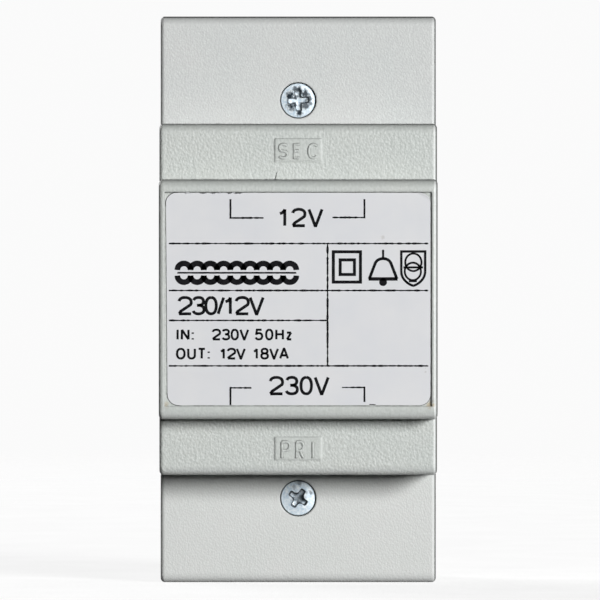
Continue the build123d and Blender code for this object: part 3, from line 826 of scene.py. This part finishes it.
def inkLine(page, points, width, closed=False, uneven=None):
    # flat mitred ribbon along points in the label's plane, its width changed at random if uneven is given
    points = [Vector(p) for p in points]
    count = len(points)
    sides = []
    for k, here in enumerate(points):
        before = points[k - 1] if closed or k else None
        after = points[(k + 1) % count] if closed or k < count - 1 else None
        incoming = (here - before).normalized() if before else (after - here).normalized()
        outgoing = (after - here).normalized() if after else incoming
        normal = Vector((-incoming.y - outgoing.y, incoming.x + outgoing.x)).normalized()
        reach = width / 2 / max(inkEdge["mitre"], normal.dot(Vector((-incoming.y, incoming.x))))
        reach *= uneven.uniform(*inkEdge["spread"]) if uneven else 1.0
        edges = [here + side * reach * normal for side in (1, -1)]
        sides.append([page.verts.new((edge.x * mm, 0, edge.y * mm)) for edge in edges])
    pairs = list(zip(sides, sides[1:])) + ([(sides[-1], sides[0])] if closed else [])
    for (a, b), (c, d) in pairs:
        page.faces.new((a, b, d, c))


def inkRule(page, start, end, width, uneven):
    # a rule whose ink has spread in some places and thinned in others
    start, end = Vector(start), Vector(end)
    steps = max(2, round((end - start).length / inkEdge["step"]))
    inkLine(page, [start.lerp(end, k / steps) for k in range(steps + 1)], width, uneven=uneven)


def inkDisc(page, centre, radius, steps=28):
    points = arcPoints(centre, radius, 0, 360 - 360 / steps, steps - 1)
    page.faces.new([page.verts.new((p.x * mm, 0, p.y * mm)) for p in points])


def letterShape(letter):
    # width for a height of one, and strokes in a box one wide and one high
    whole = (0, 0, 1, 1)
    bowl = [(0, 1), (0.45, 1)] + ovalPoints((-0.1, 0.46, 1, 1), 90, -90, 14)[1:-1] + [(0.45, 0.46), (0, 0.46)]
    return {
        "0": (0.64, [ovalPoints(whole, 90, 450)]),
        "1": (0.54, [[(0.56, 0), (0.56, 1)], [(0, 0.74), (0.28, 0.79), (0.47, 0.90), (0.56, 1)]]),
        "2": (0.75, [ovalPoints((0, 0.42, 1, 1), 170, -28, 20) + [(0.5, 0.33), (0.14, 0.15), (0.02, 0)],
                     [(0, 0), (1, 0)]]),
        "3": (0.68, [ovalPoints((0.05, 0.52, 0.95, 1), 165, -90, 20) + [(0.36, 0.52)],
                     [(0.36, 0.52)] + ovalPoints((0, 0, 1, 0.52), 90, -165, 20)]),
        "5": (0.68, [[(0.92, 1), (0.2, 1), (0.08, 0.48)], ovalPoints((0, 0, 1, 0.65), 152, -160, 22)]),
        "8": (0.67, [ovalPoints((0.06, 0.53, 0.94, 1), 90, 450), ovalPoints((0, 0, 1, 0.53), 90, 450)]),
        "/": (0.34, [[(0, 0), (1, 1)]]),
        ":": (0.0, [[(0, -0.02), (0, 0.13)], [(0, 0.57), (0, 0.72)]]),
        "A": (0.80, [[(0, 0), (0.46, 1), (0.54, 1), (1, 0)], [(0.17, 0.32), (0.83, 0.32)]]),
        "C": (0.72, [ovalPoints(whole, 42, 318)]),
        "E": (0.52, [[(1, 1), (0, 1), (0, 0), (1, 0)], [(0, 0.52), (0.85, 0.52)]]),
        "H": (0.68, [[(0, 0), (0, 1)], [(1, 0), (1, 1)], [(0, 0.53), (1, 0.53)]]),
        "I": (0.0, [[(0, 0), (0, 1)]]),
        "N": (0.68, [[(0, 0), (0, 1)], [(0, 1), (1, 0)], [(1, 0), (1, 1)]]),
        "O": (0.78, [ovalPoints(whole, 90, 450)]),
        "P": (0.56, [[(0, 0), (0, 1)], bowl]),
        "R": (0.58, [[(0, 0), (0, 1)], bowl, [(0.45, 0.46), (1, 0)]]),
        "S": (0.60, [ovalPoints((0.04, 0.5, 0.96, 1), 25, 270) + ovalPoints((0, 0, 1, 0.5), 90, -155)[1:]]),
        "T": (0.66, [[(0, 1), (1, 1)], [(0.5, 1), (0.5, 0)]]),
        "U": (0.68, [[(0, 1)] + ovalPoints((0, 0, 1, 0.7), 180, 360, 18) + [(1, 1)]]),
        "V": (0.80, [[(0, 1), (0.47, 0), (0.53, 0), (1, 1)]]),
        "z": (0.46, [[(0, 0.7), (0.95, 0.7)], [(0.95, 0.7), (0.03, 0)], [(0, 0), (1, 0)]]),
    }[letter]


def inkWords(page, text, left, right, low, high, stroke):
    # upright lettering of one stroke width, spread to fill its place
    tall = high - low - stroke
    taken = sum(letterShape(c)[0] * tall + stroke for c in text)
    gap = (right - left - taken) / (len(text) - 1)
    x = left
    for c in text:
        width, strokes = letterShape(c)
        for points in strokes:
            inkLine(page, [
                (x + stroke / 2 + u * width * tall, low + stroke / 2 + v * tall) for u, v in points
            ], stroke)
        x += width * tall + stroke + gap


def boxCorners(left, low, right, high):
    return [(left, low), (right, low), (right, high), (left, high)]


def flatObject(name, page, front):
    # sets flat shapes at their depth and turns them to the front
    bmesh.ops.translate(page, verts=page.verts, vec=(0, front, 0))
    page.normal_update()
    for face in page.faces:
        if face.normal.y > 0:
            face.normal_flip()
    return meshObject(name, page)


def finishPrint(name, page, front, height):
    obj = flatObject("print", page, front)
    obj.modifiers.new("thickness", "SOLIDIFY").thickness = height
    settle(name, obj, ink)


def printRules(page, look):
    line, post = look["line"], look["post"]
    uneven = random.Random(look["seed"])
    top, second, third, last = look["rules"]
    for z in (top, second, last):
        inkRule(page, (look["ruleLeft"], z), (look["ruleRight"], z), line, uneven)
    inkRule(page, (look["ruleLeft"], third), (look["divider"], third), line, uneven)
    inkRule(page, (look["divider"], top), (look["divider"], last), post, uneven)
    for x, end, bend, inner in look["brackets"]:
        inkLine(page, [(x, end), (x, bend - math.copysign(line / 2, end - bend))], post)
        inkRule(page, (x, bend), (inner, bend), line, uneven)
    start, end, width = look["strayDash"]
    inkLine(page, [start, end], width)


def printBell(page, look):
    x, half, over = look["x"], look["shoulderHalf"], look["lipOver"]
    dome = arcPoints((x, look["shoulder"]), half, 170, 10, 16, (look["crown"] - look["shoulder"]) / half)
    left, right = ((x + side * look["mouthHalf"], look["mouth"]) for side in (-1, 1))
    inkLine(page, [left] + dome + [right], look["side"])
    inkLine(page, [(left[0] - over, left[1]), (right[0] + over, right[1])], look["lip"])
    inkLine(page, [(x, look["top"]), (x, look["crown"])], look["stem"])
    inkDisc(page, (x, look["clapperZ"]), look["clapper"])


def printShield(page, look):
    left, right, top, bend, tip = (look[key] for key in ("left", "right", "top", "bend", "tip"))
    middle, steps = (left + right) / 2, look["sideSteps"]
    bow, draw = look["sideFall"]
    falls = [math.sin(k / steps * math.pi / 2) for k in range(1, steps)]
    rightSide = [(middle + (right - middle) * (1 - f ** bow) ** draw, bend + (tip - bend) * f) for f in falls]
    leftSide = [(2 * middle - x, z) for x, z in reversed(rightSide)]
    upper = [(left, bend), (left, top), (right, top), (right, bend)]
    inkLine(page, upper[1:] + rightSide + [(middle, tip)] + leftSide + upper[:1], look["side"], closed=True)
    for centre in look["rings"]:
        ring = arcPoints(centre, look["ring"], 0, 352, 44, look["ringTall"])
        inkLine(page, ring, look["thin"], closed=True)
    for first, last, z in look["bars"]:
        inkLine(page, [(first, z), (last, z)], look["thin"])


def printCoil(page, look, line):
    # two rows of humps about a thin rule
    pitch = 2 * look["radius"]
    start = look["centre"] - look["humps"] / 2 * pitch
    for side in (1, -1):
        z = look["middle"] + side * look["lift"]
        for hump in range(look["humps"]):
            centre = (start + (hump + 0.5) * pitch, z)
            inkLine(page, arcPoints(centre, look["radius"], 180, 0, 20, side), look["stroke"])
    inkLine(page, [(start, look["middle"]), (start + look["humps"] * pitch, look["middle"])], line)


def makePrint(look):
    page = bmesh.new()
    printRules(page, look)
    for words in look["words"]:
        inkWords(page, *words)
    half = look["bold"] / 2
    for left, low, right, high in look["doubleSquare"]:
        corners = boxCorners(left + half, low + half, right - half, high - half)
        inkLine(page, corners, look["bold"], closed=True)
    printBell(page, look["bell"])
    printShield(page, look["shield"])
    printCoil(page, look["coilSign"], look["line"])
    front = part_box("rating_label")[0].y - look["height"] * mm
    finishPrint("label_print", page, front, look["height"] * mm)


makePrint(labelPrint)
print("print made")


# painted shadow lines along the label's rounded corners, on the recess's floor
cornerGrime = {
    "y": -57.52, "height": 0.02,
    # corner: (side, end, width, first and last degrees)
    "arcs": [(-1, 1, 0.13, 84, 196), (-1, -1, 0.11, 172, 276), (1, -1, 0.07, 276, 352)],
}


def makeCornerGrime(look):
    low, high = (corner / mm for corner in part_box("rating_label"))
    radius = labelSheet["corner"]
    page = bmesh.new()
    for side, end, width, first, last in look["arcs"]:
        left = low.x + (labelSheet["leftSlant"] if end < 0 else 0.0)
        x = left + radius if side < 0 else high.x - radius
        z = high.z + labelSheet["topGrow"] - radius if end > 0 else low.z + radius
        inkLine(page, arcPoints((x, z), radius + width / 2, first, last), width)
    finishPrint("label_corner_grime", page, look["y"] * mm, look["height"] * mm)


makeCornerGrime(cornerGrime)
print("corner grime made")


# moulded legends: low rounded strokes on the raised panels
legends = {
    "stroke": 0.60, "rise": 0.19, "panel": -50.7,
    # word: (letter, left, right) and the low and high ends
    "SEC": ([("S", -3.88, -1.74), ("E", -1.10, 0.56), ("C", 1.70, 4.00)], 26.32, 29.48),
    "PRI": ([("P", -3.36, -1.30), ("R", -0.62, 1.30), ("I", 2.50, 3.10)], -30.20, -26.52),
}


def makeLegend(word):
    letters, low, high = legends[word]
    half = legends["stroke"] / 2
    strokes = []
    for letter, left, right in letters:
        wide, tall = right - left - 2 * half, high - low - 2 * half
        for stroke in letterShape(letter)[1]:
            strokes.append([(left + half + u * wide, 0, low + half + v * tall) for u, v in stroke])
    curve = strokeCurve(word, half, strokes)
    curve.bevel_resolution = 3
    curve.use_fill_caps = True
    obj = addObject(word, curve)
    mesh = finalMesh(obj)
    bpy.data.objects.remove(obj)
    flatten = Matrix.Diagonal((1, legends["rise"] / half, 1, 1))
    mesh.transform(Matrix.Translation((0, legends["panel"] * mm, 0)) @ flatten)
    settle(word.lower() + "_legend", addObject(word, mesh), legendPlastic, 60)


for word in ("SEC", "PRI"):
    makeLegend(word)
print("legends made")


# cover screws: domed pan heads with a worn cross recess, and a cut thread
coverScrew = {
    "z": 37.8, "crown": -35.85, "headRadius": 3.33, "headHeight": 2.2, "dome": 0.34, "edge": 0.28,
    "shankRadius": 1.75, "rootRadius": 1.32, "length": 14.0, "pitch": 1.25, "segments": 72,
    "crownSteps": 8, "rowsPerTurn": 8, "taperRows": 10, "tipShare": 0.55,
    "flare": {"above": 0.3, "span": 1.04, "wing": 1.03},  # the cutter's start, a little wider than the recess
    # the upper recess is worn wide and shallow, the lower one is whole
    "recesses": [
        {"turn": -4.0, "span": 4.65, "wing": 1.45, "depth": 0.75, "floorSpan": 3.7, "floorWing": 0.85,
         "point": 0.3, "innerRound": 0.3, "tipRound": 0.3},
        {"turn": 33.0, "span": 4.2, "wing": 1.25, "depth": 1.0, "floorSpan": 3.2, "floorWing": 0.85,
         "point": 0.4, "innerRound": 0.65, "tipRound": 0.32},
    ],
}


def screwBody(look):
    # turned head and threaded shank along Y, from the crown at y = 0 back to the tip
    shape = bmesh.new()
    radius, dome, edge, steps = look["headRadius"], look["dome"], look["edge"], look["crownSteps"]
    crown = []
    for k in range(1, steps + 1):
        r = (radius - edge) * k / steps
        crown.append((r, dome * (r / (radius - edge)) ** 2))
    for k in range(1, steps + 1):
        t = k / steps * math.pi / 2
        crown.append((radius - edge + edge * math.sin(t), dome + edge * (1 - math.cos(t))))
    crown += [(radius, look["headHeight"]), (look["shankRadius"], look["headHeight"])]
    count, shareLeft = look["segments"], 1 - look["tipShare"]
    rings = [[spot] * count for spot in crown]
    rows = int(look["length"] / look["pitch"] * look["rowsPerTurn"])
    for row in range(1, rows + 1):
        depth = look["headHeight"] + look["length"] * row / rows
        taper = min(1.0, (rows - row) / look["taperRows"])
        root = look["rootRadius"] * (look["tipShare"] + shareLeft * taper)
        ring = []
        for k in range(count):
            phase = (depth / look["pitch"] - k / count) % 1.0
            ridge = 1 - abs(2 * phase - 1)
            ring.append((root + (look["shankRadius"] - look["rootRadius"]) * ridge * taper, depth))
        rings.append(ring)
    verts = []
    for ring in rings:
        angles = [2 * math.pi * k / count for k in range(count)]
        verts.append([shape.verts.new(Vector((r * math.cos(a), d, r * math.sin(a))) * mm)
                      for (r, d), a in zip(ring, angles)])
    for first, second in zip(verts, verts[1:]):
        for k in range(count):
            shape.faces.new((first[k], first[k - 1], second[k - 1], second[k]))
    tipTop = shape.verts.new((0, 0, 0))
    tipEnd = shape.verts.new((0, (look["headHeight"] + look["length"]) * mm, 0))
    for k in range(count):
        shape.faces.new((tipTop, verts[0][k - 1], verts[0][k]))
        shape.faces.new((tipEnd, verts[-1][k], verts[-1][k - 1]))
    bmesh.ops.recalc_face_normals(shape, faces=shape.faces)
    return meshObject("screw", shape)


def crossCutter(look, flare):
    # tapered cross, its wings rounded at their ends and where they meet
    shape = bmesh.new()
    layers = []
    for depth, span, wing in (
        (-flare["above"], look["span"] * flare["span"], look["wing"] * flare["wing"]),
        (look["depth"], look["floorSpan"], look["floorWing"]),
    ):
        tip, inner, half = look["tipRound"], look["innerRound"] * wing / look["wing"], wing / 2
        quarter = arcPoints((span / 2 - tip, -half + tip), tip, -90, 0, 4)
        quarter += arcPoints((span / 2 - tip, half - tip), tip, 0, 90, 4)
        quarter += arcPoints((half + inner, half + inner), inner, 270, 180, 5)
        layer = []
        for k in range(4):
            turn = Matrix.Rotation(math.radians(90 * k), 2)
            layer += [shape.verts.new(Vector(((turn @ p).x, depth, (turn @ p).y)) * mm) for p in quarter]
        layers.append(layer)
    count = len(layers[0])
    for k in range(count):
        shape.faces.new((layers[0][k - 1], layers[0][k], layers[1][k], layers[1][k - 1]))
    shape.faces.new(layers[0])
    point = shape.verts.new((0, (look["depth"] + look["point"]) * mm, 0))
    for k in range(count):
        shape.faces.new((layers[1][k - 1], layers[1][k], point))
    bmesh.ops.recalc_face_normals(shape, faces=shape.faces)
    return meshObject("cross", shape)


def makeCoverScrews(look):
    pair = bmesh.new()
    for side, recess in zip((1, -1), look["recesses"]):
        body, cutter = screwBody(look), crossCutter(recess, look["flare"])
        cut = body.modifiers.new("recess", "BOOLEAN")
        cut.object, cut.solver = cutter, "EXACT"
        single = finalMesh(body)
        bpy.data.objects.remove(body)
        bpy.data.objects.remove(cutter)
        place = Matrix.Translation(Vector((0, look["crown"], side * look["z"])) * mm)
        single.transform(place @ Matrix.Rotation(math.radians(recess["turn"]), 4, "Y"))
        pair.from_mesh(single)
    piece = settle("cover_screw_pair", meshObject("screws", pair), zincPlate, 32)
    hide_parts("cover_screws")


makeCoverScrews(coverScrew)
print("cover screws made")


# clip spring: a folded strip between the base's lug and the clip
clipSpring = {"strip": 0.5, "turns": 5, "arcSteps": 14, "edge": 0.08, "travel": 4.5}


def makeClipSpring(look):
    low, high = (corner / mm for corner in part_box("clip_spring"))
    strip = look["strip"]
    first, last = low.z + strip / 2, high.z - strip / 2
    pitch = (last - first) / look["turns"]
    reach = high.x - strip / 2 - pitch / 2
    path = [Vector((-reach, first))]
    for turn in range(look["turns"]):
        side, start = (1, -90) if turn % 2 == 0 else (-1, 270)
        z = first + (turn + 0.5) * pitch
        path += arcPoints((side * reach, z), pitch / 2, start, 90, look["arcSteps"])
    path.append(Vector((-path[-1].x, last)))
    page = bmesh.new()
    inkLine(page, path, strip)
    obj = flatObject("spring", page, low.y * mm)
    obj.modifiers.new("width", "SOLIDIFY").thickness = (high.y - low.y) * mm
    bevel = obj.modifiers.new("edge", "BEVEL")
    bevel.width, bevel.segments = look["edge"] * mm, 2
    piece = settle("spring_strip", obj, springSteel)
    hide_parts("clip_spring")
    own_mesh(piece)


makeClipSpring(clipSpring)
print("spring made")


# small marks: a stray hair by the nose, and a sliver of flash on the shoulder's upper edge
strayHair = {
    "path": [(-3.95, 24.0), (-4.12, 23.6), (-4.2, 23.1), (-4.4, 22.62)], "y": -50.53, "radius": 0.045,
}
flashSliver = {
    "left": -16.05, "right": -14.15, "y": -48.9, "low": 32.9, "foot": 0.05, "rise": 0.36, "evenShare": 0.6,
    "steps": 14, "thickness": 0.12, "seed": 7,
}


def makeStrayHair(look):
    curve = strokeCurve("hair", look["radius"], [[(x, look["y"], z) for x, z in look["path"]]])
    settle("stray_hair", addObject("hair", curve), ink, 80)


def makeFlashSliver(look):
    rng = random.Random(look["seed"])
    sliver = bmesh.new()
    steps, even = look["steps"], look["evenShare"]
    rows = []
    for k in range(steps + 1):
        x = look["left"] + (look["right"] - look["left"]) * k / steps
        rise = look["rise"] * math.sin(math.pi * k / steps) ** 0.5 * (even + (1 - even) * rng.random())
        heights = (0.0, look["foot"] + rise)
        rows.append([sliver.verts.new(Vector((x, look["y"], look["low"] + h)) * mm) for h in heights])
    for (a, b), (c, d) in zip(rows, rows[1:]):
        sliver.faces.new((a, c, d, b))
    obj = meshObject("sliver", sliver)
    obj.modifiers.new("thickness", "SOLIDIFY").thickness = look["thickness"] * mm
    settle("flash_sliver", obj, casePlastic, 80)


makeStrayHair(strayHair)
makeFlashSliver(flashSliver)
print("small marks made")
